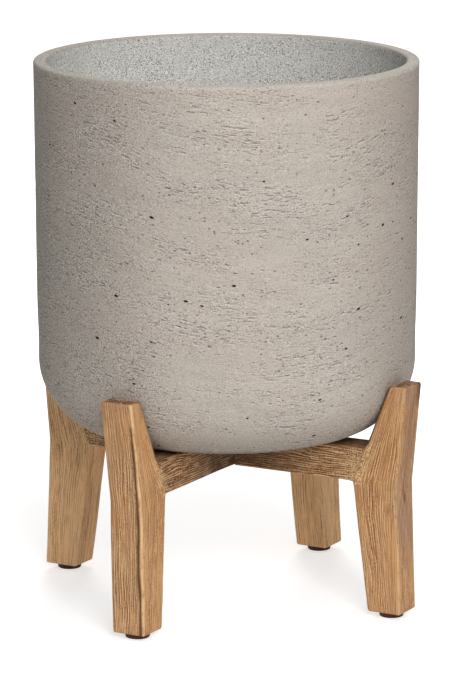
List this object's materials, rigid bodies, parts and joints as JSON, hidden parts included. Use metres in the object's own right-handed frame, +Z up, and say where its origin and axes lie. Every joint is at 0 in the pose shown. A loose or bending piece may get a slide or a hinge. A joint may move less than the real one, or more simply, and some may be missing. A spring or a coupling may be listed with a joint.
{
  "type": "plant stand with pot",
  "caption": "Round straight-sided planter with a rounded base, set on a low cross-braced wooden stand with chevron legs that hold the pot between them.",
  "frame": {"origin": "on the floor under the middle of the pot, where the stand's glides rest", "axes": "+Z up along the pot's axis, -Y to the front; the legs stand on the diagonals between X and Y"},
  "size_m": [0.38, 0.38, 0.542],
  "materials": {
    "fibre_cement": "matt cast cement, washed, with small pits and streaks",
    "brushed_wood": "wire-brushed, unvarnished, worn edges",
    "dowel_wood": "plain turned hardwood",
    "glide_plastic": "dark brown, glossy",
    "steel": "zinc-plated",
    "black_rubber": "matt"
  },
  "bodies": {
    "stand": {"bar_lower": "brushed_wood", "bar_upper": "brushed_wood", "lap_screw": "steel", "leg_front_left": "brushed_wood", "leg_front_right": "brushed_wood", "leg_back_right": "brushed_wood", "leg_back_left": "brushed_wood", "dowel_front_left_lower": "dowel_wood", "dowel_front_left_upper": "dowel_wood", "dowel_front_right_lower": "dowel_wood", "dowel_front_right_upper": "dowel_wood", "dowel_back_right_lower": "dowel_wood", "dowel_back_right_upper": "dowel_wood", "dowel_back_left_lower": "dowel_wood", "dowel_back_left_upper": "dowel_wood", "glide_front_left": "glide_plastic", "glide_front_right": "glide_plastic", "glide_back_right": "glide_plastic", "glide_back_left": "glide_plastic", "glide_nail_front_left": "steel", "glide_nail_front_right": "steel", "glide_nail_back_right": "steel", "glide_nail_back_left": "steel"},
    "pot": {"pot": "fibre_cement"},
    "plug": {"drain_plug": "black_rubber"}
  },
  "joints": [
    {"name": "pot_lift", "type": "slide", "parent": "stand", "child": "pot", "axis": [0, 0, 1], "range_m": [0, 0.2]},
    {"name": "plug_pull", "type": "slide", "parent": "pot", "child": "plug", "axis": [0, 0, 1], "range_m": [0, 0.05]}
  ]
}
